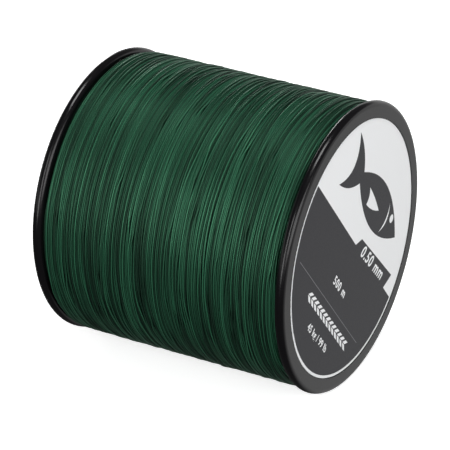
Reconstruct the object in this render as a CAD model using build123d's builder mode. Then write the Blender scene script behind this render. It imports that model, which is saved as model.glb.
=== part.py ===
"""Bulk spool of braided fishing line.

The spool lies on its rims. The spindle axis is X, the front label faces +X, and the
origin is on the axis, midway between the two flanges. All sizes are millimetres.

Two black mouldings plug together in the middle of the drum. Each is a flange, half
of the drum, half of the spindle tube and the ribs that tie them together. A label
lies in a shallow recess in each flange, and the line fills the space between them.
"""

import os
from math import cos, degrees, radians, sin

from build123d import *

os.makedirs("parts", exist_ok=True)

# Overall sizes
flange_diameter = 85.0
overall_width = 81.0

# Flanges
rim_width = 3.0
plate_thickness = 2.2

# Drum, spindle tube and ribs
drum_diameter = 70.8
drum_wall = 2.4
spindle_bore = 12.0
bore_lead_in = 0.6
tube_wall = 1.8
rib_count = 6
rib_thickness = 1.6
rib_setback = 2.0

# Spigot of the front moulding, and its socket in the rear one
spigot_length = 6.0
spigot_wall = 1.1
spigot_clearance = 0.05
spigot_end_gap = 0.2
snap_height = 0.3
snap_width = 1.2
snap_from_tip = 2.0

# Labels
label_diameter = 75.2
label_thickness = 0.18
label_recess_depth = 0.4
label_edge_gap = 0.2
punched_hole_diameter = 15.0

# Line: its own thickness, the layers kept apart as the outer winding, and how far
# the finished winding stays under the rim at each flange
line_diameter = 0.5
outer_layers = 2
line_below_rim_front = 0.9
line_below_rim_rear = 0.3
winding_shoulder = 0.7

# Tapes
arbor_tape_width = 20.0
tape_thickness = 0.15
tail_tape_length = 14.0
tail_tape_width = 12.0
tail_tape_from_flange = 4.0
tail_tape_angle = 30.0

# Radii and places along the axis that follow from the sizes above
rim_radius = flange_diameter / 2
bead_radius = rim_width / 2
end_x = overall_width / 2
inner_face_x = end_x - rim_width
recess_floor_x = end_x - label_recess_depth
plate_inner_x = end_x - plate_thickness
label_radius = label_diameter / 2
recess_radius = label_radius + label_edge_gap
drum_radius = drum_diameter / 2
drum_inner_radius = drum_radius - drum_wall
bore_radius = spindle_bore / 2
tube_radius = bore_radius + tube_wall
spigot_radius = drum_inner_radius + spigot_wall
socket_radius = spigot_radius + spigot_clearance
socket_depth = spigot_length + spigot_end_gap
snap_x = spigot_length - snap_from_tip
front_line_radius = rim_radius - line_below_rim_front
rear_line_radius = rim_radius - line_below_rim_rear
inner_winding_radius = front_line_radius - outer_layers * line_diameter
tape_radius = drum_radius + tape_thickness


def ring(x_low, x_high, r_low, r_high):
    """Draws one rectangle of a half profile: x along the axis, y outwards."""
    with Locations(((x_low + x_high) / 2, (r_low + r_high) / 2)):
        Rectangle(x_high - x_low, r_high - r_low)


def moulded_half():
    """One moulding on the +X side: flange, half drum, half spindle tube and ribs."""
    with BuildPart() as half:
        with BuildSketch(Plane.XZ):
            ring(inner_face_x, end_x, drum_inner_radius, rim_radius - bead_radius)
            ring(plate_inner_x, end_x, bore_radius, drum_radius)
            ring(0, end_x, drum_inner_radius, drum_radius)
            ring(0, end_x, bore_radius, tube_radius)
            with Locations((end_x - bead_radius, rim_radius - bead_radius)):
                Circle(bead_radius)
            with Locations(((recess_floor_x + end_x) / 2, (bore_radius + recess_radius) / 2)):
                Rectangle(label_recess_depth, recess_radius - bore_radius, mode=Mode.SUBTRACT)
        revolve(axis=Axis.X)
        floor_edges = half.edges().filter_by(GeomType.CIRCLE).group_by(Axis.X)[-2]
        chamfer(floor_edges.sort_by(SortBy.RADIUS)[0], length=bore_lead_in)
        rib_end_x = spigot_length + rib_setback
        rib_middle_radius = (tube_radius + drum_inner_radius) / 2
        with BuildSketch(Plane.YZ.offset(rib_end_x)):
            with PolarLocations(rib_middle_radius, rib_count):
                Rectangle(drum_inner_radius - tube_radius + tube_wall, rib_thickness)
        extrude(amount=plate_inner_x - rib_end_x)
    return half


def snap_profile(clearance):
    """Half profile of the snap bead, made larger all round for its groove."""
    half_width = snap_width / 2 + clearance
    base = drum_inner_radius + spigot_wall / 2
    Polygon(
        (-snap_x - half_width, base),
        (-snap_x - half_width, spigot_radius),
        (-snap_x, spigot_radius + snap_height + clearance),
        (-snap_x + half_width, spigot_radius),
        (-snap_x + half_width, base),
        align=None,
    )


# Front moulding: its drum ends in a thin spigot with a snap bead round it
with_spigot = moulded_half()
with BuildPart() as front_flange_half:
    add(with_spigot.part)
    with BuildSketch(Plane.XZ):
        ring(-spigot_length, 0, drum_inner_radius, spigot_radius)
        snap_profile(0)
    revolve(axis=Axis.X)
front_flange_half.part.label = "front_flange_half"

# Rear moulding: the mirror image, bored out to take the spigot and its bead
with_socket = moulded_half()
with BuildPart() as rear_flange_half:
    mirror(with_socket.part, about=Plane.YZ)
    with BuildSketch(Plane.XZ):
        ring(-socket_depth, 0, drum_inner_radius, socket_radius)
        snap_profile(spigot_clearance)
    revolve(axis=Axis.X, mode=Mode.SUBTRACT)
rear_flange_half.part.label = "rear_flange_half"

# Front label: a whole disc, which also closes the front of the spindle bore
with BuildPart() as front_label:
    with BuildSketch(Plane.YZ.offset(recess_floor_x)):
        Circle(label_radius)
    extrude(amount=label_thickness)
front_label.part.label = "front_label"

# Rear label: the same disc with a hole punched out for the spindle
with BuildPart() as rear_label:
    with BuildSketch(Plane.YZ.offset(-recess_floor_x)):
        Circle(label_radius)
        Circle(punched_hole_diameter / 2, mode=Mode.SUBTRACT)
    extrude(amount=-label_thickness)
rear_label.part.label = "rear_label"

# Arbor tape: one band round the drum, over the joint, that stops the line slipping
with BuildPart() as arbor_tape:
    with BuildSketch(Plane.XZ):
        ring(-arbor_tape_width / 2, arbor_tape_width / 2, drum_radius, tape_radius)
    revolve(axis=Axis.X)
arbor_tape.part.label = "arbor_tape"

# Inner winding: the bulk of the line, from the drum and its tape outwards
with BuildPart() as inner_winding:
    with BuildSketch(Plane.XZ):
        ring(-inner_face_x, inner_face_x, drum_radius, inner_winding_radius)
        with Locations((0, (drum_radius + tape_radius) / 2)):
            Rectangle(arbor_tape_width, tape_thickness, mode=Mode.SUBTRACT)
    revolve(axis=Axis.X)
inner_winding.part.label = "inner_winding"

# Outer winding: the last layers, tapered, with a rounded shoulder at each flange
with BuildPart() as outer_winding:
    with BuildSketch(Plane.XZ):
        Polygon(
            (-inner_face_x, inner_winding_radius),
            (-inner_face_x, rear_line_radius),
            (inner_face_x, front_line_radius),
            (inner_face_x, inner_winding_radius),
            align=None,
        )
    revolve(axis=Axis.X)
    widest_edges = outer_winding.edges().filter_by(GeomType.CIRCLE).sort_by(SortBy.RADIUS)[-2:]
    fillet(widest_edges, radius=winding_shoulder)
outer_winding.part.label = "outer_winding"


def line_radius_at(x):
    """Radius of the tapered winding at a place along the axis."""
    share = (x + inner_face_x) / (2 * inner_face_x)
    return rear_line_radius + share * (front_line_radius - rear_line_radius)


# Tail tape: a patch on the far side, near the rear flange, over the end of the line
tape_low_x = -inner_face_x + tail_tape_from_flange
tape_high_x = tape_low_x + tail_tape_width
tape_arc = degrees(tail_tape_length / rear_line_radius)
tape_start = radians(tail_tape_angle - tape_arc / 2)
tape_plane = Plane(
    origin=(0, 0, 0),
    x_dir=(1, 0, 0),
    z_dir=(0, -sin(tape_start), cos(tape_start)),
)
with BuildPart() as tail_tape:
    with BuildSketch(tape_plane):
        Polygon(
            (tape_low_x, line_radius_at(tape_low_x)),
            (tape_low_x, line_radius_at(tape_low_x) + tape_thickness),
            (tape_high_x, line_radius_at(tape_high_x) + tape_thickness),
            (tape_high_x, line_radius_at(tape_high_x)),
            align=None,
        )
    revolve(axis=Axis.X, revolution_arc=tape_arc)
tail_tape.part.label = "tail_tape"

export_step(front_flange_half.part, "parts/front_flange_half.step")
export_step(rear_flange_half.part, "parts/rear_flange_half.step")
export_step(front_label.part, "parts/front_label.step")
export_step(rear_label.part, "parts/rear_label.step")
export_step(arbor_tape.part, "parts/arbor_tape.step")
export_step(inner_winding.part, "parts/inner_winding.step")
export_step(outer_winding.part, "parts/outer_winding.step")
export_step(tail_tape.part, "parts/tail_tape.step")
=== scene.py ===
"""Looks for a bulk spool of braided fishing line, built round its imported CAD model.

The spool's axis is X, the front label faces +X and the rims stand on the floor. Lengths are
metres, so a number given in millimetres is multiplied by MM. Round the spool, an angle is
measured from +Y towards +Z.
"""

import math

import bpy
import numpy as np
from bpy.props import FloatProperty, IntProperty, PointerProperty, StringProperty
from mathutils import Matrix, Vector


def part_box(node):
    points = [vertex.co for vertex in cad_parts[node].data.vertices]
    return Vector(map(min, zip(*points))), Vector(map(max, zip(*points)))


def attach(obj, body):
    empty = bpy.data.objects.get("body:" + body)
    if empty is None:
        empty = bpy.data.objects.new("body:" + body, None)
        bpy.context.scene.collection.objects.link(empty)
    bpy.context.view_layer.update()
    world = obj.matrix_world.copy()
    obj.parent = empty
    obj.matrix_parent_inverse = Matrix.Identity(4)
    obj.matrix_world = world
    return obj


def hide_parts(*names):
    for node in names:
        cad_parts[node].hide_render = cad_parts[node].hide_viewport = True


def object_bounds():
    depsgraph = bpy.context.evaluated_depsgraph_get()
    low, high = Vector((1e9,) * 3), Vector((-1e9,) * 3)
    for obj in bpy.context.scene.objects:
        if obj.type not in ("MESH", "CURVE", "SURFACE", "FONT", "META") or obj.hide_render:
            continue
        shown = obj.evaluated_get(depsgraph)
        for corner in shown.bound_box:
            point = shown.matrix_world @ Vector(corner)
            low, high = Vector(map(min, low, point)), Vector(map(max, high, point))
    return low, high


bl_info = {
    "name": "Braided Line Spool",
    "version": (1, 0, 0),
    "blender": (4, 5, 0),
    "location": "3D View > Sidebar > Line Spool",
    "description": "Winds the line, prints the labels and finishes the mouldings of a bulk line spool",
    "category": "Object",
}

MM = 0.001
TURN = 2 * math.pi

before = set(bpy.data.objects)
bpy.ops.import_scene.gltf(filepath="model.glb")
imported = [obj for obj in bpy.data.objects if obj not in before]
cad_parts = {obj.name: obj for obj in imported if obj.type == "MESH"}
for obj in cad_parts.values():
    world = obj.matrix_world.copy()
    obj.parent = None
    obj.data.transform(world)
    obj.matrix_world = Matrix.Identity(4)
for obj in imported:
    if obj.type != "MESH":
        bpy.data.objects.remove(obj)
CAD_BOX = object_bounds()

# Places that the frame gives
FLOOR_Z = CAD_BOX[0].z
LABEL_FACE_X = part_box("front_label")[1].x
LABEL_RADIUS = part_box("front_label")[1].z
WOUND_HALF_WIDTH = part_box("inner_winding")[1].x
CORE_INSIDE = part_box("arbor_tape")[1].z
WOUND_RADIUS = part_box("outer_winding")[1].z
TAPE_LEFT, TAPE_RIGHT = (corner.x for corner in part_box("tail_tape"))


# ---------------------------------------------------------------- settings


def length(name, description, millimetres):
    """A setting that is a length."""
    return FloatProperty(
        name=name, description=description, default=millimetres * MM, unit="LENGTH", precision=5
    )


def angle(name, description, degrees):
    """A setting that is an angle."""
    return FloatProperty(
        name=name, description=description, default=math.radians(degrees), subtype="ANGLE"
    )


def colour(name, description, code):
    """A setting that is a colour, written as an sRGB hex value."""
    return StringProperty(name=name, description=description, default=code)


class LineSettings(bpy.types.PropertyGroup):
    """The braided line and the way it is wound"""

    diameter: length("Line diameter", "Thickness of the braid", 0.5)
    pitch: length("Pitch", "Distance between turns in the first made layer", 0.54)
    opening: FloatProperty(
        name="Opening", description="How much wider each layer's pitch is than the last", default=1.32
    )
    layers: IntProperty(name="Layers", description="Outer layers made turn by turn", default=3)
    depth: length("Depth", "How far down the made layers go", 1.32)
    fall: length("Fall", "How much lower the winding is at the front flange", 0.6)
    shoulder: length("Shoulder", "How far the winding drops beside a flange", 2.0)
    wander: length("Wander", "How far a turn strays from its even place", 0.2)
    crossing: length("Crossing", "Length in which a turn climbs over the one below", 9.0)
    samples: IntProperty(name="Samples", description="Points round one turn", default=240)
    pick: length("Pick", "Length of one crossing of the plait", 1.1)
    stretch: length("Stretch", "Length of line over which dye and shine change", 80)
    seed: IntProperty(name="Seed", description="Changes the chance in the winding", default=7)
    # The dark colour is also the painted shade on each turn's flanks, and the pale colour the painted
    # light on its outside
    dye: colour("Dye", "Dyed fibre", "0F2019")
    pale_fibre: colour("Pale fibre", "Fibre that the dye took less", "2E6148")
    sheen: colour("Sheen", "Light that comes back out of the fibres", "A6FFCB")


class TapeSettings(bpy.types.PropertyGroup):
    """The paper tape that holds the line's tail, and the one on the arbor"""

    middle: angle("Middle", "Angle round the spool of the tape's middle", 30)
    length: length("Length", "Length round the winding", 14)
    thickness: length("Thickness", "Paper and glue", 0.15)
    tooth: length("Tooth", "Width of a tooth of the torn ends", 1.2)
    paper: colour("Paper", "Crêpe paper", "DCCFA6")


class PlasticSettings(bpy.types.PropertyGroup):
    """The two black mouldings"""

    black: colour("Black", "Carbon-black ABS", "0E0D0F")
    grain: length("Grain", "Size of the mould's spark grain", 0.35)


class LabelSettings(bpy.types.PropertyGroup):
    """The printed film labels"""

    film: colour("Film", "White film", "F0F1F2")
    ink: colour("Ink", "Dark grey ink", "27272B")
    rule: colour("Rule", "Ink of the thin rule", "6E6E72")
    print_thickness: length("Print thickness", "How far the print stands proud", 0.03)
    border: length("Border", "White margin round the print", 0.8)
    reading: angle("Reading", "Angle of the line of reading on the front label", -50)
    hole: length("Hole", "Radius of the rear label's punched hole", 7.5)


class StageSettings(bpy.types.PropertyGroup):
    """Camera and studio"""

    azimuth: angle("Azimuth", "Camera angle round the spool", 29.72)
    elevation: angle("Elevation", "Camera angle above the floor", 26.86)
    distance: length("Distance", "Camera to the middle of the spool", 657.9)
    aside: length("Aside", "How far the aim is to the left of the middle", 1.22)
    below: length("Below", "How far the aim is below the middle", 2.29)
    lens: FloatProperty(name="Lens", description="Focal length in millimetres", default=181.6)
    surround: FloatProperty(name="Surround", description="Strength of the dim room", default=0.08)
    cove: FloatProperty(name="Cove", description="Strength of the white cove", default=0.95)
    table: FloatProperty(name="Table", description="Light from the table in front", default=0.07)
    far_table: FloatProperty(name="Far table", description="Light from the table behind", default=0.74)


# ---------------------------------------------------------------- materials


def linear(code):
    """An sRGB hex colour as linear RGBA."""
    channels = (int(code[i:i + 2], 16) / 255 for i in (0, 2, 4))
    return [c / 12.92 if c <= 0.04045 else ((c + 0.055) / 1.055) ** 2.4 for c in channels] + [1.0]


def add_node(tree, kind, links=None, values=None, **settings):
    """Adds a node. Links join sockets to its inputs, values fill inputs, settings are its own."""
    node = tree.nodes.new(kind)
    for name, value in settings.items():
        setattr(node, name, value)
    for socket, value in (values or {}).items():
        node.inputs[socket].default_value = value
    for socket, source in (links or {}).items():
        tree.links.new(source, node.inputs[socket])
    return node


def new_material(name):
    """An empty node material."""
    material = bpy.data.materials.new(name)
    material.use_nodes = True
    material.node_tree.nodes.clear()
    return material, material.node_tree


def close_material(tree, links, values):
    """Ends a tree in one Principled shader."""
    shader = add_node(tree, "ShaderNodeBsdfPrincipled", links, values)
    add_node(tree, "ShaderNodeOutputMaterial", {"Surface": shader.outputs["BSDF"]})


def moulded_black_abs(plastic):
    """Black ABS from a polished tool with a light spark grain.

    The gloss is soft, so a lamp gives a grey streak along the rim, and the grain breaks it up.
    """
    material, tree = new_material("moulded_black_abs")
    place = add_node(tree, "ShaderNodeTexCoord").outputs["Object"]
    grain = add_node(
        tree, "ShaderNodeTexNoise", {"Vector": place}, {"Scale": 1 / plastic.grain, "Detail": 3.0}
    )
    cloud = add_node(
        tree, "ShaderNodeTexNoise", {"Vector": place}, {"Scale": 1 / (9 * MM), "Detail": 2.0}
    )
    rough = add_node(
        tree, "ShaderNodeMapRange", {"Value": cloud.outputs["Fac"]},
        {"From Min": 0.3, "From Max": 0.7, "To Min": 0.17, "To Max": 0.24},
    )
    bump = add_node(
        tree, "ShaderNodeBump", {"Height": grain.outputs["Fac"]},
        {"Strength": 0.15, "Distance": 0.012 * MM},
    )
    close_material(
        tree,
        {"Roughness": rough.outputs["Result"], "Normal": bump.outputs["Normal"]},
        {"Base Color": linear(plastic.black), "IOR": 1.53, "Specular IOR Level": 0.26},
    )
    return material


def dyed_plaited_fibre(line):
    """Polyethylene fibre, dyed green, plaited and coated.

    The plait's picks are lozenges on both slants. The coating gives each turn a silky streak.
    The dye takes unevenly, so whole stretches of line are paler and shine more. Painted shade
    and light lie across each turn: it is darker on its flanks and underside, where the gaps
    between turns are, and paler on its outside. A stretch isn't a whole share of a turn, so that
    turns side by side differ.
    """
    material, tree = new_material("dyed_plaited_fibre")
    run = add_node(tree, "ShaderNodeUVMap", uv_map="line_run")
    parts = add_node(tree, "ShaderNodeSeparateXYZ", {"Vector": run.outputs["UV"]})
    along, around = parts.outputs["X"], parts.outputs["Y"]
    # along is in millimetres, and around goes from 0 to 1, a quarter being the outside of a turn
    picks = add_node(
        tree, "ShaderNodeMath", {0: along}, {1: math.pi * MM / line.pick}, operation="MULTIPLY"
    )
    strands = add_node(tree, "ShaderNodeMath", {0: around}, {1: 4 * math.pi}, operation="MULTIPLY")
    slants = []
    for way in ("ADD", "SUBTRACT"):
        slant = add_node(
            tree, "ShaderNodeMath", {0: picks.outputs[0], 1: strands.outputs[0]}, operation=way
        )
        wave = add_node(tree, "ShaderNodeMath", {0: slant.outputs[0]}, operation="SINE")
        slants.append(
            add_node(tree, "ShaderNodeMath", {0: wave.outputs[0]}, operation="ABSOLUTE").outputs[0]
        )
    lozenge = add_node(tree, "ShaderNodeMath", {0: slants[0], 1: slants[1]}, operation="MULTIPLY")
    stretch = add_node(
        tree, "ShaderNodeTexNoise", {"W": along},
        {"Scale": MM / line.stretch, "Detail": 1.5, "Roughness": 0.5}, noise_dimensions="1D",
    )
    tint = add_node(
        tree, "ShaderNodeMapRange", {"Value": stretch.outputs["Fac"]},
        {"From Min": 0.38, "From Max": 0.63},
    )
    coat = add_node(
        tree, "ShaderNodeMapRange", {"Value": stretch.outputs["Fac"]},
        {"From Min": 0.4, "From Max": 0.62, "To Min": 0.52, "To Max": 0.3},
    )
    bearing = add_node(tree, "ShaderNodeMath", {0: around}, {1: TURN}, operation="MULTIPLY")
    crown = add_node(tree, "ShaderNodeMath", {0: bearing.outputs[0]}, operation="SINE")
    # painted shade and light: each turn is darker on its flanks and underside, where the gaps between
    # turns are, and paler on its outside
    painted_gap_shade = add_node(
        tree, "ShaderNodeMapRange", {"Value": crown.outputs[0]},
        {"From Min": 0.15, "From Max": 0.95, "To Min": 0.05, "To Max": 1.0},
    )
    pale = add_node(
        tree, "ShaderNodeMath", {0: tint.outputs["Result"], 1: painted_gap_shade.outputs["Result"]},
        operation="MULTIPLY",
    )
    # the ramp's dark end is both the darker dye and the painted shade in the gaps between turns
    dye = add_node(tree, "ShaderNodeValToRGB", {"Fac": pale.outputs[0]})
    dye.color_ramp.elements[0].color = linear(line.dye)
    dye.color_ramp.elements[1].color = linear(line.pale_fibre)
    bump = add_node(
        tree, "ShaderNodeBump", {"Height": lozenge.outputs[0]},
        {"Strength": 0.3, "Distance": 0.04 * MM},
    )
    close_material(
        tree,
        {
            "Base Color": dye.outputs["Color"], "Roughness": coat.outputs["Result"],
            "Normal": bump.outputs["Normal"],
        },
        {"IOR": 1.5, "Specular IOR Level": 0.6, "Specular Tint": linear(line.sheen)},
    )
    return material


def printed(name, code, roughness=0.36):
    """Film or flexographic ink, varnished.

    The varnish lies a little unevenly, so reflections in it waver.
    """
    material, tree = new_material(name)
    place = add_node(tree, "ShaderNodeTexCoord").outputs["Object"]
    lie = add_node(
        tree, "ShaderNodeTexNoise", {"Vector": place}, {"Scale": 1 / (6 * MM), "Detail": 1.0}
    )
    speck = add_node(
        tree, "ShaderNodeTexNoise", {"Vector": place}, {"Scale": 1 / (0.4 * MM), "Detail": 2.0}
    )
    rough = add_node(
        tree, "ShaderNodeMapRange", {"Value": speck.outputs["Fac"]},
        {"From Min": 0.3, "From Max": 0.7, "To Min": roughness - 0.04, "To Max": roughness + 0.04},
    )
    bump = add_node(
        tree, "ShaderNodeBump", {"Height": lie.outputs["Fac"]},
        {"Strength": 0.15, "Distance": 0.05 * MM},
    )
    close_material(
        tree,
        {"Roughness": rough.outputs["Result"], "Normal": bump.outputs["Normal"]},
        {"Base Color": linear(code), "IOR": 1.5, "Specular IOR Level": 0.18},
    )
    return material


def crepe_paper(tape):
    """Crêpe masking paper: fine cross ridges, matt, with a few fibres."""
    material, tree = new_material("crepe_paper")
    place = add_node(tree, "ShaderNodeTexCoord").outputs["Object"]
    squeezed = add_node(
        tree, "ShaderNodeMapping", {"Vector": place}, {"Scale": (0.25, 1.0, 1.0)}
    )
    ridge = add_node(
        tree, "ShaderNodeTexNoise", {"Vector": squeezed.outputs["Vector"]},
        {"Scale": 1 / (0.55 * MM), "Detail": 2.0},
    )
    # painted shade: the paper is darker in the valleys of the same ridges that make its bump
    ramp = add_node(tree, "ShaderNodeValToRGB", {"Fac": ridge.outputs["Fac"]})
    ramp.color_ramp.elements[0].position = 0.3
    ramp.color_ramp.elements[0].color = [0.78 * c for c in linear(tape.paper)[:3]] + [1]
    ramp.color_ramp.elements[1].position = 0.65
    ramp.color_ramp.elements[1].color = linear(tape.paper)
    bump = add_node(
        tree, "ShaderNodeBump", {"Height": ridge.outputs["Fac"]},
        {"Strength": 0.7, "Distance": 0.08 * MM},
    )
    close_material(
        tree,
        {"Base Color": ramp.outputs["Color"], "Normal": bump.outputs["Normal"]},
        {"Roughness": 0.8, "IOR": 1.45},
    )
    return material


def give(obj, material):
    """Puts one material on an object."""
    obj.data.materials.clear()
    obj.data.materials.append(material)


def add_piece(name, mesh, material, slot, *replaced):
    """Links a piece, finishes it and lets it ride on the spool's one body."""
    obj = bpy.data.objects.new(name, mesh)
    bpy.context.scene.collection.objects.link(obj)
    give(obj, material)
    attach(obj, "root")
    if replaced:
        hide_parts(*replaced)
    return obj


# ---------------------------------------------------------------- winding

# How the line lies
CELLS = 5  # map cells in the line's radius
SLIDE = 9  # map cells that a turn may slide sideways
HOME_PULL = 0.3  # what keeps a turn by its even place
STIFFNESS = 0.034  # what keeps a turn straight
TAUT_ROUNDS = 50  # rounds of pulling a stretch taut

# How the traverse guide strays
BAND = 1.2 * MM  # turns this close stray together
LUMPS = 7  # strays in one time round the spool
OWN_LENGTH = 45 * MM  # length in which a turn strays by itself
OWN_SHARE = 0.6  # of the wander, how much a turn strays by itself
FIRST_SHARE = 0.3  # of the wander, how much the first made layer strays

# How the layers end beside a flange
SHOULDER_WIDTH = 6  # line diameters in which the winding drops
FLANGE_GAP = 1.05  # line radii from a flange to the first made layer's last turn
STEP_IN = 1.9  # line radii by which each layer stops short of the one below

TURNS_IN_PIECE = 64  # keeps a piece's mesh small enough to export whole


def smooth_chance(chance, count, span, size):
    """Smooth noise: count values that turn over about every span values."""
    knots = chance.normal(0, size, int(count / span) + 4)
    spread = np.interp(np.arange(count + 2 * span) / span, np.arange(len(knots)), knots)
    kernel = np.hanning(span + 2)[1:-1]
    return np.convolve(spread, kernel / kernel.sum(), "same")[span:span + count]


class Winding:
    """Lays the line on a height map of what is already wound.

    The map's rows go across the spool and its columns round it.
    """

    def __init__(self, line):
        self.line = line
        self.radius = line.diameter / 2
        self.chance = np.random.default_rng(line.seed)
        self.cell = self.radius / CELLS
        self.step = TURN * WOUND_RADIUS / line.samples
        self.steps = np.arange(1 - CELLS, CELLS)
        self.profile = np.sqrt(self.radius**2 - (self.steps * self.cell) ** 2)
        count = int(round(2 * WOUND_HALF_WIDTH / self.cell)) + 1
        self.places = np.linspace(-WOUND_HALF_WIDTH, WOUND_HALF_WIDTH, count)
        self.height = np.repeat(self.base()[:, None], line.samples, 1)

    def base(self):
        """Radius of the winding under the made layers, lower at the front and by the flanges."""
        line = self.line
        share = (self.places + WOUND_HALF_WIDTH) / (2 * WOUND_HALF_WIDTH)
        from_flange = WOUND_HALF_WIDTH - abs(self.places)
        inward = np.clip(from_flange / (SHOULDER_WIDTH * line.diameter), 0, 1)
        return (
            WOUND_RADIUS - line.depth - line.fall * share
            - line.shoulder * (1 - inward * (2 - inward))
        )

    def rows(self, across):
        """Map row of each place across the spool."""
        row = np.rint((across + WOUND_HALF_WIDTH) / self.cell).astype(int)
        return row.clip(0, len(self.places) - 1)

    def shared_wander(self, size):
        """A map of how far the traverse guide lays turns off their even place."""
        bands = int(2 * WOUND_HALF_WIDTH / BAND) + 1
        coarse = self.chance.normal(0, size, (bands, LUMPS))
        spectrum = np.fft.rfft(coarse, axis=1)
        fine = np.fft.irfft(spectrum, self.line.samples, axis=1) * self.line.samples / LUMPS
        band_places = np.linspace(-WOUND_HALF_WIDTH, WOUND_HALF_WIDTH, bands)
        return np.stack([np.interp(self.places, band_places, column) for column in fine.T], 1)

    def rest(self, across, columns):
        """Height of the line's middle where it rests on the map."""
        reach = np.clip(self.rows(across)[..., None] + self.steps, 0, len(self.places) - 1)
        return (self.height[reach, columns[..., None]] + self.profile).max(-1)

    def settle(self, even, columns, limit):
        """How far a stretch of line slides sideways from its even place into the dips."""
        shifts = np.arange(-SLIDE, SLIDE + 1) * self.cell
        across = np.clip(even[:, None] + shifts, -limit, limit)
        cost = self.rest(across, np.broadcast_to(columns[:, None], across.shape)) / self.radius
        cost += HOME_PULL * (shifts / self.radius) ** 2
        stiffness = STIFFNESS * (self.line.crossing / self.step) ** 2
        turn = stiffness * ((shifts[:, None] - shifts) / self.radius) ** 2
        total = cost[0] + stiffness * ((shifts - self.shift) / self.radius) ** 2
        best = np.zeros(cost.shape, int)
        for k in range(1, len(even)):
            choices = total[:, None] + turn
            best[k] = choices.argmin(0)
            total = choices.min(0) + cost[k]
        path = [int(total.argmin())]
        for k in range(len(even) - 1, 0, -1):
            path.append(best[k][path[-1]])
        return shifts[path[::-1]]

    def tighten(self, lowest):
        """Height of a taut stretch: it lies on what is under it and bridges the dips."""
        chord = math.cos(TURN / self.line.samples)
        height = np.concatenate([[self.last], lowest, lowest[-1:]])
        for _ in range(TAUT_ROUNDS):
            middle = (height[:-2] + height[2:]) / 2 * chord
            height[1:-1] = np.maximum(lowest, middle)
            height[-1] = height[-2]
        return height[1:-1]

    def press(self, across, height, columns):
        """Adds a laid stretch to the map."""
        reach = np.clip(self.rows(across)[:, None] + self.steps, 0, len(self.places) - 1)
        at = (reach, columns[:, None])
        self.height[at] = np.maximum(self.height[at], height[:, None] + self.profile)

    def lay(self, start, end, pitch, limit, wander, first):
        """Winds one layer from start to end. Returns places across, heights and angles.

        Half a turn is laid at a time, worked out with a little of what follows so that they join.
        """
        samples = self.line.samples
        count = int(abs(end - start) / pitch * samples)
        even = np.linspace(start, end, count)
        columns = (first + np.arange(count)) % samples
        even = even + self.shared_wander(wander)[self.rows(even), columns]
        own_span = int(OWN_LENGTH / self.step)
        even = even + smooth_chance(self.chance, count, own_span, OWN_SHARE * wander)
        even = np.clip(even, -limit, limit)
        self.shift, self.last = 0.0, self.rest(even[:1], columns[:1])[0]
        across, height = np.empty(count), np.empty(count)
        stride, ahead = samples // 2, samples // 8
        for k in range(0, count, stride):
            part = slice(k, min(k + stride + ahead, count))
            kept = min(stride, count - k)
            shift = self.settle(even[part], columns[part], limit)
            place = np.clip(even[part] + shift, -limit, limit)
            level = self.tighten(self.rest(place, columns[part]))
            self.shift, self.last = shift[kept - 1], level[kept - 1]
            across[k:k + kept], height[k:k + kept] = place[:kept], level[:kept]
            self.press(place[:kept], level[:kept], columns[k:k + kept])
        return across, height, (first + np.arange(count)) * TURN / samples

    def wind(self):
        """Winds every layer from flange to flange, the last one towards the rear."""
        layers = []
        pitch, first = self.line.pitch, 0
        for number in range(self.line.layers):
            towards_rear = (self.line.layers - number) % 2
            limit = WOUND_HALF_WIDTH - self.radius * (FLANGE_GAP + STEP_IN * number)
            start, end = (limit, -limit) if towards_rear else (-limit, limit)
            wander = self.line.wander * (FIRST_SHARE if number == 0 else 1.0)
            layers.append(self.lay(start, end, pitch, limit, wander, first))
            first += len(layers[-1][0])
            pitch *= self.line.opening
        return layers


def eased(values):
    """A path with the map's steps taken out."""
    kernel = np.array([1, 2, 3, 2, 1]) / 9
    return np.convolve(np.pad(values, 2, mode="edge"), kernel, "valid")


def line_mesh(name, across, height, angles, radius, turn_samples, sides=6):
    """The line as one tube, with a map of its run and a map of strips, one strip for each turn."""
    count = len(across)
    outward = np.stack([np.zeros(count), np.cos(angles), np.sin(angles)], 1)
    middle = outward * height[:, None]
    middle[:, 0] = across
    run = np.gradient(middle, axis=0)
    run /= np.linalg.norm(run, axis=1)[:, None]
    side = np.cross(run, outward)
    side /= np.linalg.norm(side, axis=1)[:, None]
    lift = np.cross(side, run)
    spokes = np.arange(sides) * TURN / sides
    rings = middle[:, None] + radius * (
        np.cos(spokes)[None, :, None] * side[:, None] + np.sin(spokes)[None, :, None] * lift[:, None]
    )
    ring, spoke = np.meshgrid(np.arange(count - 1), np.arange(sides), indexing="ij")
    beside = (spoke + 1) % sides
    quads = np.stack(
        [ring * sides + spoke, ring * sides + beside,
         (ring + 1) * sides + beside, (ring + 1) * sides + spoke], -1,
    ).reshape(-1, 4)
    caps = np.stack([np.arange(sides)[::-1], (count - 1) * sides + np.arange(sides)])
    mesh = bpy.data.meshes.new(name)
    mesh.from_pydata(rings.reshape(-1, 3).tolist(), [], quads.tolist() + caps.tolist())
    mesh.shade_smooth()

    travelled = np.concatenate([[0], np.cumsum(np.linalg.norm(np.diff(middle, axis=0), axis=1))])
    corner_ring = np.stack([ring, ring, ring + 1, ring + 1], -1).reshape(-1)
    corner_spoke = np.stack([spoke, spoke + 1, spoke + 1, spoke], -1).reshape(-1)
    turns = math.ceil((count - 1) / turn_samples)
    own_turn = np.repeat(ring.reshape(-1) // turn_samples, 4)
    spare = 0.04  # of a strip's height, left bare on each side of it
    strips = np.stack([
        (corner_ring - own_turn * turn_samples) / turn_samples,
        (own_turn + spare + corner_spoke / sides * (1 - 2 * spare)) / turns,
    ], 1)
    lines = np.stack([travelled[corner_ring] / MM, corner_spoke / sides], 1)
    for layer, places in (("line_run", lines), ("OFBake", strips)):
        ends = np.repeat(places[-1:], caps.size, 0)
        mesh.uv_layers.new(name=layer).data.foreach_set("uv", np.concatenate([places, ends]).ravel())
    return mesh


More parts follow.
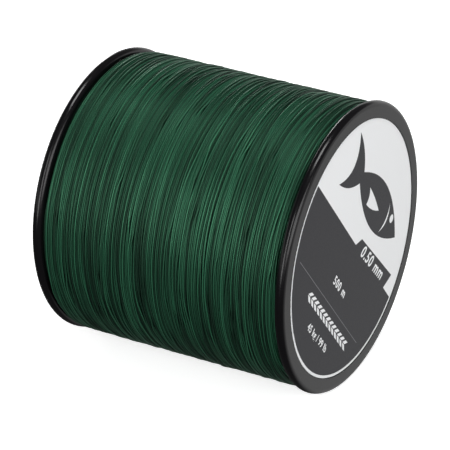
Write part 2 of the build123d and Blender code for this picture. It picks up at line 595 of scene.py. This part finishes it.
def core_mesh(name, winding, steps=6, columns=96):
    """The winding below the made layers: a closed ring with a ridge for every turn."""
    circumference = TURN * WOUND_RADIUS / MM
    turns = int(2 * WOUND_HALF_WIDTH / winding.line.pitch)
    across = np.linspace(-WOUND_HALF_WIDTH, WOUND_HALF_WIDTH, turns * steps + 1)
    share = np.arange(len(across)) % steps / steps
    groove = winding.radius * (1 - np.sqrt(1 - (2 * share - 1) ** 2))
    outside = np.interp(across, winding.places, winding.base()) - groove
    across = np.append(across, [WOUND_HALF_WIDTH, -WOUND_HALF_WIDTH])
    radii = np.append(outside, [CORE_INSIDE, CORE_INSIDE])
    angles = np.arange(columns) * TURN / columns
    points = np.stack([
        np.repeat(across, columns), np.outer(radii, np.cos(angles)).ravel(),
        np.outer(radii, np.sin(angles)).ravel(),
    ], 1)
    row, column = np.meshgrid(np.arange(len(radii)), np.arange(columns), indexing="ij")
    corner_row = np.stack([row, row, row + 1, row + 1], -1)
    corner_column = np.stack([column, column + 1, column + 1, column], -1)
    quads = corner_row % len(radii) * columns + corner_column % columns
    mesh = bpy.data.meshes.new(name)
    mesh.from_pydata(points.tolist(), [], quads.reshape(-1, 4).tolist())
    mesh.shade_smooth()
    mesh.set_sharp_from_angle(angle=math.radians(60))

    along = (row[..., None] // steps + corner_column / columns) * circumference
    around = (corner_row - row[..., None] // steps * steps) / steps / 2
    lines = np.stack([along, around], -1)
    strips = np.stack([corner_column / columns, corner_row / len(radii)], -1)
    for layer, places in (("line_run", lines), ("OFBake", strips)):
        mesh.uv_layers.new(name=layer).data.foreach_set("uv", places.ravel())
    return mesh


def draped_tape(winding, tape, left, right, columns=57, rows=61, bridged=8, rounds=12):
    """Tape laid over the turns: it bridges the dips and its ends are torn on teeth."""
    across = np.linspace(left, right, rows)
    half = tape.length / 2 / WOUND_RADIUS
    share = np.linspace(-1, 1, columns)
    tooth = abs((across - left) / tape.tooth % 1 - 0.5) * tape.tooth
    reach = half - tooth[:, None] / WOUND_RADIUS
    angles = tape.middle + share[None] * reach
    grid_columns = np.rint(angles / TURN * winding.line.samples).astype(int) % winding.line.samples
    spread = np.arange(-bridged, bridged + 1)
    near = winding.rows(across)[:, None, None] + spread
    beneath = winding.height[near.clip(0, len(winding.places) - 1), grid_columns[..., None]].max(-1)
    for _ in range(rounds):
        padded = np.pad(beneath, 1, mode="edge")
        mean = (padded[:-2, 1:-1] + padded[2:, 1:-1] + padded[1:-1, :-2] + padded[1:-1, 2:]) / 4
        beneath = np.maximum(mean, beneath * 0.5 + mean * 0.5)
    low = beneath + 0.01 * MM
    points = []
    for level in (low, low + tape.thickness):
        beside = np.broadcast_to(across[:, None], level.shape)
        sheet = np.stack([beside, level * np.cos(angles), level * np.sin(angles)], -1)
        points.append(sheet.reshape(-1, 3))
    grid = np.arange(rows * columns).reshape(rows, columns)
    under = np.stack([grid[:-1, :-1], grid[:-1, 1:], grid[1:, 1:], grid[1:, :-1]], -1).reshape(-1, 4)
    over = under[:, ::-1] + rows * columns
    edge = np.concatenate([grid[0], grid[1:, -1], grid[-1, -2::-1], grid[-2:0:-1, 0]])
    following = np.roll(edge, -1)
    walls = np.stack([edge, edge + rows * columns, following + rows * columns, following], -1)
    mesh = bpy.data.meshes.new("tail_tape_paper")
    faces = np.concatenate([under, over, walls]).tolist()
    mesh.from_pydata(np.concatenate(points).tolist(), [], faces)
    mesh.shade_smooth()
    mesh.set_sharp_from_angle(angle=math.radians(50))
    return mesh


class SPOOL_OT_wind_line(bpy.types.Operator):
    """Winds the line's outer layers over its core and tapes them down"""

    bl_idname = "spool.wind_line"
    bl_label = "Wind the line"

    def execute(self, context):
        line, tape = context.scene.spool_line, context.scene.spool_tape
        fibre = dyed_plaited_fibre(line)
        winding = Winding(line)
        core = core_mesh("line_core", winding)
        add_piece("line_core", core, fibre, "braided_line", "inner_winding")
        most = TURNS_IN_PIECE * line.samples
        for number, (across, height, angles) in enumerate(winding.wind(), 1):
            across, height = eased(across), eased(height)
            pieces = math.ceil(len(across) / most)
            size = math.ceil(len(across) / pieces / line.samples) * line.samples
            for part in range(pieces):
                chosen = slice(part * size, (part + 1) * size + 1)
                name = f"line_layer_{number}_{part + 1}"
                mesh = line_mesh(
                    name, across[chosen], height[chosen], angles[chosen], winding.radius, line.samples
                )
                add_piece(name, mesh, fibre, "braided_line", "outer_winding")
        paper = crepe_paper(tape)
        give(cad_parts["arbor_tape"], paper)
        mesh = draped_tape(winding, tape, TAPE_LEFT, TAPE_RIGHT)
        add_piece("tail_tape_paper", mesh, paper, "tape", "tail_tape")
        return {"FINISHED"}


# ---------------------------------------------------------------- mouldings


class SPOOL_OT_finish_mouldings(bpy.types.Operator):
    """Gives the two mouldings their black ABS"""

    bl_idname = "spool.finish_mouldings"
    bl_label = "Finish the mouldings"

    def execute(self, context):
        abs_black = moulded_black_abs(context.scene.spool_plastic)
        for name in ("front_flange_half", "rear_flange_half"):
            give(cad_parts[name], abs_black)
        return {"FINISHED"}


# ---------------------------------------------------------------- labels


FIGURE_HEIGHT = 0.72  # of the type's size
PLAIT_SIZE = (36.5, 2.8, 13)  # length, height and picks of the printed plait, in millimetres


class LabelFace:
    """One label's face. Shapes are drawn on it in millimetres, u along the reading and v up."""

    def __init__(self, prefix, outward, reading, label):
        self.prefix = prefix
        self.outward = outward
        self.label = label
        along = Vector((0, math.cos(reading), math.sin(reading)))
        out = Vector((outward, 0, 0))
        up = out.cross(along)
        self.turned = Matrix((along, up, out)).transposed().to_4x4()

    def piece(self, name, curve, material, slot, layer=0):
        """Makes one flat print from a filled curve, lying on the layer given."""
        thick = self.label.print_thickness
        curve.extrude = thick / 2 / MM
        curve.fill_mode = "BOTH"
        curve.resolution_u = 8
        holder = bpy.data.objects.new(name, curve)
        mesh = bpy.data.meshes.new_from_object(holder)
        bpy.data.objects.remove(holder)
        rise = LABEL_FACE_X + thick * (layer + 0.5)
        mesh.transform(
            Matrix.Translation((self.outward * rise, 0, 0)) @ self.turned @ Matrix.Scale(MM, 4)
        )
        mesh.shade_flat()
        return add_piece(f"{self.prefix}_{name}", mesh, material, slot)

    def shape(self, name, outlines, material, slot, layer=0):
        """A print bounded by closed outlines. One inside another is a hole."""
        curve = bpy.data.curves.new(name, "CURVE")
        curve.dimensions = "2D"
        for points in outlines:
            spline = curve.splines.new("POLY")
            spline.points.add(len(points) - 1)
            for point, (u, v) in zip(spline.points, points):
                point.co = (u, v, 0, 1)
            spline.use_cyclic_u = True
        return self.piece(name, curve, material, slot, layer)

    def words(self, name, text, middle, height, material, slot, layer=0, lean=0.0, **settings):
        """A line of figures, height millimetres high, centred on middle and turned by lean."""
        curve = bpy.data.curves.new(name, "FONT")
        curve.body = text
        curve.size = height / FIGURE_HEIGHT
        curve.align_x = curve.align_y = "CENTER"
        for key, value in settings.items():
            setattr(curve, key, value)
        obj = self.piece(name, curve, material, slot, layer)
        place = self.turned.to_3x3() @ Vector((*middle, 0)) * MM
        turn = Matrix.Rotation(lean, 4, Vector((self.outward, 0, 0)))
        obj.data.transform(Matrix.Translation(place) @ turn)
        return obj


def arc(radius, first, last, steps, middle=(0, 0)):
    """Points on an arc, angles in radians."""
    turns = (first + (last - first) * k / steps for k in range(steps + 1))
    return [(middle[0] + radius * math.cos(a), middle[1] + radius * math.sin(a)) for a in turns]


def curve_through(ends, bulge, steps=16):
    """Points of a bow between two ends. Bulge is its height, to the left of the way."""
    (u0, v0), (u1, v1) = ends
    du, dv = u1 - u0, v1 - v0
    long = math.hypot(du, dv)
    points = []
    for k in range(steps + 1):
        t = k / steps
        lift = 4 * t * (1 - t) * bulge / long
        points.append((u0 + du * t - dv * lift, v0 + dv * t + du * lift))
    return points


def plait_band(length_mm, height_mm, count):
    """Two rows of slanted lozenges, like the picks of a flat plait."""
    pitch = length_mm / count
    slant, wide, half = pitch * 0.62, pitch * 0.62, height_mm / 2
    outlines = []
    for k in range(count):
        u = -length_mm / 2 + (k + 0.15) * pitch
        outlines.append([(u, 0.12), (u + wide, 0.12), (u + wide + slant, half), (u + slant, half)])
        outlines.append([(u, -0.12), (u + slant, -half), (u + wide + slant, -half), (u + wide, -0.12)])
    return outlines


def moved(outlines, du, dv):
    """Outlines moved on the label."""
    return [[(u + du, v + dv) for u, v in points] for points in outlines]


def bowed(points, bulges):
    """A closed outline through the points, each side bowed to the left of the way by its bulge."""
    outline = []
    for k, bulge in enumerate(bulges):
        outline += curve_through((points[k], points[(k + 1) % len(points)]), bulge)[:-1]
    return outline


def fish():
    """A plain fish that swims along the reading, with an eye, a gill and a fin."""
    nose, rump, vent = (24, 15.4), (-13, 18.2), (-13, 14.6)
    upper, lower = (-25, 24.6), (-25, 8.0)
    body = bowed([nose, rump, upper, lower, vent], [-6.2, -1.2, 4.6, -1.2, -5.8])
    eye = arc(1.3, 0, TURN, 20, (16.6, 18.0))[:-1]
    gill = bowed([(11.4, 21.0), (11.4, 10.9)], [2.4, -1.5])
    fin = bowed([(6.0, 15.4), (-5.5, 17.2), (-3.5, 12.6)], [-0.4, 0.8, -0.6])
    return [body, eye, gill, fin]


class SPOOL_OT_print_labels(bpy.types.Operator):
    """Finishes the two film labels and lays their print on them"""

    bl_idname = "spool.print_labels"
    bl_label = "Print the labels"

    def execute(self, context):
        label = context.scene.spool_label
        film = printed("white_varnished_film", label.film)
        ink = printed("dark_grey_ink", label.ink, 0.4)
        pale = printed("pale_grey_ink", label.rule, 0.4)
        for name in ("front_label", "rear_label"):
            give(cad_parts[name], film)
        edge = (LABEL_RADIUS - label.border) / MM
        panel_top = 1.5
        turn = math.asin(panel_top / edge)

        front = LabelFace("front", 1, label.reading, label)
        tab = [(0.5, panel_top), (3, 4.6), (32, 6.7), (30, panel_top)]
        front.shape(
            "dark_panel", [tab + arc(edge, turn, -math.pi - turn, 96)], ink, "label_ink"
        )
        front.shape("fish", fish(), ink, "label_ink")
        front.words(
            "line_size", "0.50 mm", (15.6, 2.9), 3.6, film, "label_film", 1,
            lean=math.radians(3.6), shear=0.3, offset=0.1, space_character=1.15,
        )
        front.words(
            "line_length", "500 m", (1.2, -11.7), 2.6, film, "label_film", 1,
            offset=0.08, space_character=1.2,
        )
        rule = [[(-29, -18.1), (27, -18.1), (27, -17.9), (-29, -17.9)]]
        front.shape("rule", rule, pale, "label_ink", 1)
        front.shape("plait", moved(plait_band(*PLAIT_SIZE), 1.7, -21.9), film, "label_film", 1)
        front.words(
            "line_load", "45 kg / 99 lb", (0.3, -28.2), 2.2, film, "label_film", 1,
            offset=0.06, space_character=1.1,
        )

        rear = LabelFace("rear", -1, math.pi, label)
        bare_ring = 1.2
        rim, hole = arc(edge, 0, TURN, 128)[:-1], arc(label.hole / MM + bare_ring, 0, TURN, 48)[:-1]
        rear.shape("dark_panel", [rim, hole], ink, "label_ink")
        rear.words("line_size", "0.50 mm", (0, 20), 5.0, film, "label_film", 1, offset=0.08)
        rear.words("line_length", "500 m", (0, -18), 4.0, film, "label_film", 1, offset=0.06)
        rear.shape("plait", moved(plait_band(*PLAIT_SIZE), 0, -26), film, "label_film", 1)
        return {"FINISHED"}


# ---------------------------------------------------------------- stage


FLOOR_REACH = 3.0
TABLE_LINE = -0.035  # the table's light starts just below level, behind the floor's far edge


def opal_table():
    """Opal acrylic table, sanded, with a little light under it that softens the shadow."""
    material, tree = new_material("sanded_opal_acrylic")
    place = add_node(tree, "ShaderNodeTexCoord").outputs["Object"]
    tooth = add_node(tree, "ShaderNodeTexNoise", {"Vector": place}, {"Scale": 1 / (0.8 * MM)})
    bump = add_node(
        tree, "ShaderNodeBump", {"Height": tooth.outputs["Fac"]},
        {"Strength": 0.05, "Distance": 0.1 * MM},
    )
    close_material(
        tree, {"Normal": bump.outputs["Normal"]},
        {
            "Base Color": linear("FAFAFA"), "Roughness": 0.9, "Specular IOR Level": 0.1,
            "Emission Color": linear("FFFFFF"), "Emission Strength": 0.7,
        },
    )
    return material


def light_room(tree, stage):
    """A dim room with a white cove that starts at the floor, and below it a table that is
    darker in front of the spool than behind it."""
    way = add_node(tree, "ShaderNodeTexCoord").outputs["Generated"]
    height = add_node(tree, "ShaderNodeSeparateXYZ", {"Vector": way}).outputs["Z"]
    rear = add_node(
        tree, "ShaderNodeVectorMath", {0: way}, {1: (0.5, 0.87, 0.0)}, operation="DOT_PRODUCT"
    )
    table = add_node(
        tree, "ShaderNodeMapRange", {"Value": rear.outputs["Value"]},
        {"From Min": 0.35, "From Max": 0.75, "To Min": stage.table, "To Max": stage.far_table},
    )
    room = add_node(
        tree, "ShaderNodeMapRange", {"Value": height},
        {"From Min": 0.12, "From Max": 0.25, "To Min": stage.cove, "To Max": stage.surround},
    )
    above = add_node(tree, "ShaderNodeMath", {0: height}, {1: TABLE_LINE}, operation="GREATER_THAN")
    strength = add_node(
        tree, "ShaderNodeMix",
        {"Factor": above.outputs[0], "A": table.outputs["Result"], "B": room.outputs["Result"]},
    )
    background = tree.nodes["Background"]
    background.inputs["Color"].default_value = linear("FFFFFF")
    tree.links.new(strength.outputs["Result"], background.inputs["Strength"])


def add_softbox(name, bearing, distance, size, power):
    """An area lamp that looks at the middle of the spool. Bearing is a direction to it."""
    lamp = bpy.data.lights.new(name, "AREA")
    lamp.shape = "RECTANGLE"
    lamp.size, lamp.size_y = size
    lamp.energy = power
    obj = bpy.data.objects.new(name, lamp)
    bpy.context.scene.collection.objects.link(obj)
    way = Vector(bearing).normalized()
    obj.location = way * distance
    obj.rotation_mode = "QUATERNION"
    obj.rotation_quaternion = way.to_track_quat("Z", "Y")


class SPOOL_OT_set_stage(bpy.types.Operator):
    """Makes the floor, the soft lights and the camera"""

    bl_idname = "spool.set_stage"
    bl_label = "Set the stage"

    def execute(self, context):
        stage, scene = context.scene.spool_stage, context.scene
        corners = [(-1, -1), (1, -1), (1, 1), (-1, 1)]
        points = [(x * FLOOR_REACH, y * FLOOR_REACH, FLOOR_Z) for x, y in corners]
        mesh = bpy.data.meshes.new("floor")
        mesh.from_pydata(points, [], [(0, 1, 2, 3)])
        floor = bpy.data.objects.new("floor", mesh)
        floor.visible_diffuse = floor.visible_glossy = False  # the room's lower half stands for it
        scene.collection.objects.link(floor)
        give(floor, opal_table())

        around, above = stage.azimuth, stage.elevation
        back = Vector((
            math.sin(around) * math.cos(above), -math.cos(around) * math.cos(above), math.sin(above)
        ))
        right = Vector((math.cos(around), math.sin(around), 0))
        up = back.cross(right)
        camera = bpy.data.objects.new("camera", bpy.data.cameras.new("camera"))
        scene.collection.objects.link(camera)
        camera.data.lens = stage.lens
        camera.data.sensor_width = 36
        camera.data.clip_start, camera.data.clip_end = 0.01, 20
        camera.location = back * stage.distance - right * stage.aside - up * stage.below
        camera.rotation_mode = "QUATERNION"
        camera.rotation_quaternion = back.to_track_quat("Z", "Y")
        scene.camera = camera

        world = bpy.data.worlds.new("white_room")
        scene.world = world
        world.use_nodes = True
        light_room(world.node_tree, stage)
        add_softbox("top_softbox", (0.2, 0.03, 0.97), 0.8, (0.28, 0.36), 3.2)
        add_softbox("front_softbox", (0.1, -0.92, 0.32), 0.9, (0.24, 0.8), 3.7)
        add_softbox("side_softbox", (0.87, -0.37, 0.3), 0.9, (0.7, 0.5), 4.7)
        add_softbox("rear_softbox", (-0.8, 0.6, 0.05), 1.2, (0.6, 0.6), 5.0)
        scene.view_settings.view_transform = "Standard"
        return {"FINISHED"}


# ---------------------------------------------------------------- add-on


class SPOOL_PT_panel(bpy.types.Panel):
    """Lists the steps in the 3D view's sidebar"""

    bl_label = "Line Spool"
    bl_idname = "SPOOL_PT_panel"
    bl_space_type = "VIEW_3D"
    bl_region_type = "UI"
    bl_category = "Line Spool"

    def draw(self, context):
        for operator in OPERATORS:
            self.layout.operator(operator.bl_idname)


SETTINGS = {
    "spool_line": LineSettings,
    "spool_tape": TapeSettings,
    "spool_plastic": PlasticSettings,
    "spool_label": LabelSettings,
    "spool_stage": StageSettings,
}
OPERATORS = (
    SPOOL_OT_wind_line,
    SPOOL_OT_finish_mouldings,
    SPOOL_OT_print_labels,
    SPOOL_OT_set_stage,
)


def register():
    for cls in (*SETTINGS.values(), *OPERATORS, SPOOL_PT_panel):
        bpy.utils.register_class(cls)
    for name, cls in SETTINGS.items():
        setattr(bpy.types.Scene, name, PointerProperty(type=cls))


def unregister():
    for name in SETTINGS:
        delattr(bpy.types.Scene, name)
    for cls in (SPOOL_PT_panel, *reversed(OPERATORS), *reversed(SETTINGS.values())):
        bpy.utils.unregister_class(cls)


def main():
    register()
    bpy.ops.spool.wind_line()
    bpy.ops.spool.finish_mouldings()
    bpy.ops.spool.print_labels()
    bpy.ops.spool.set_stage()


if __name__ == "__main__":
    main()
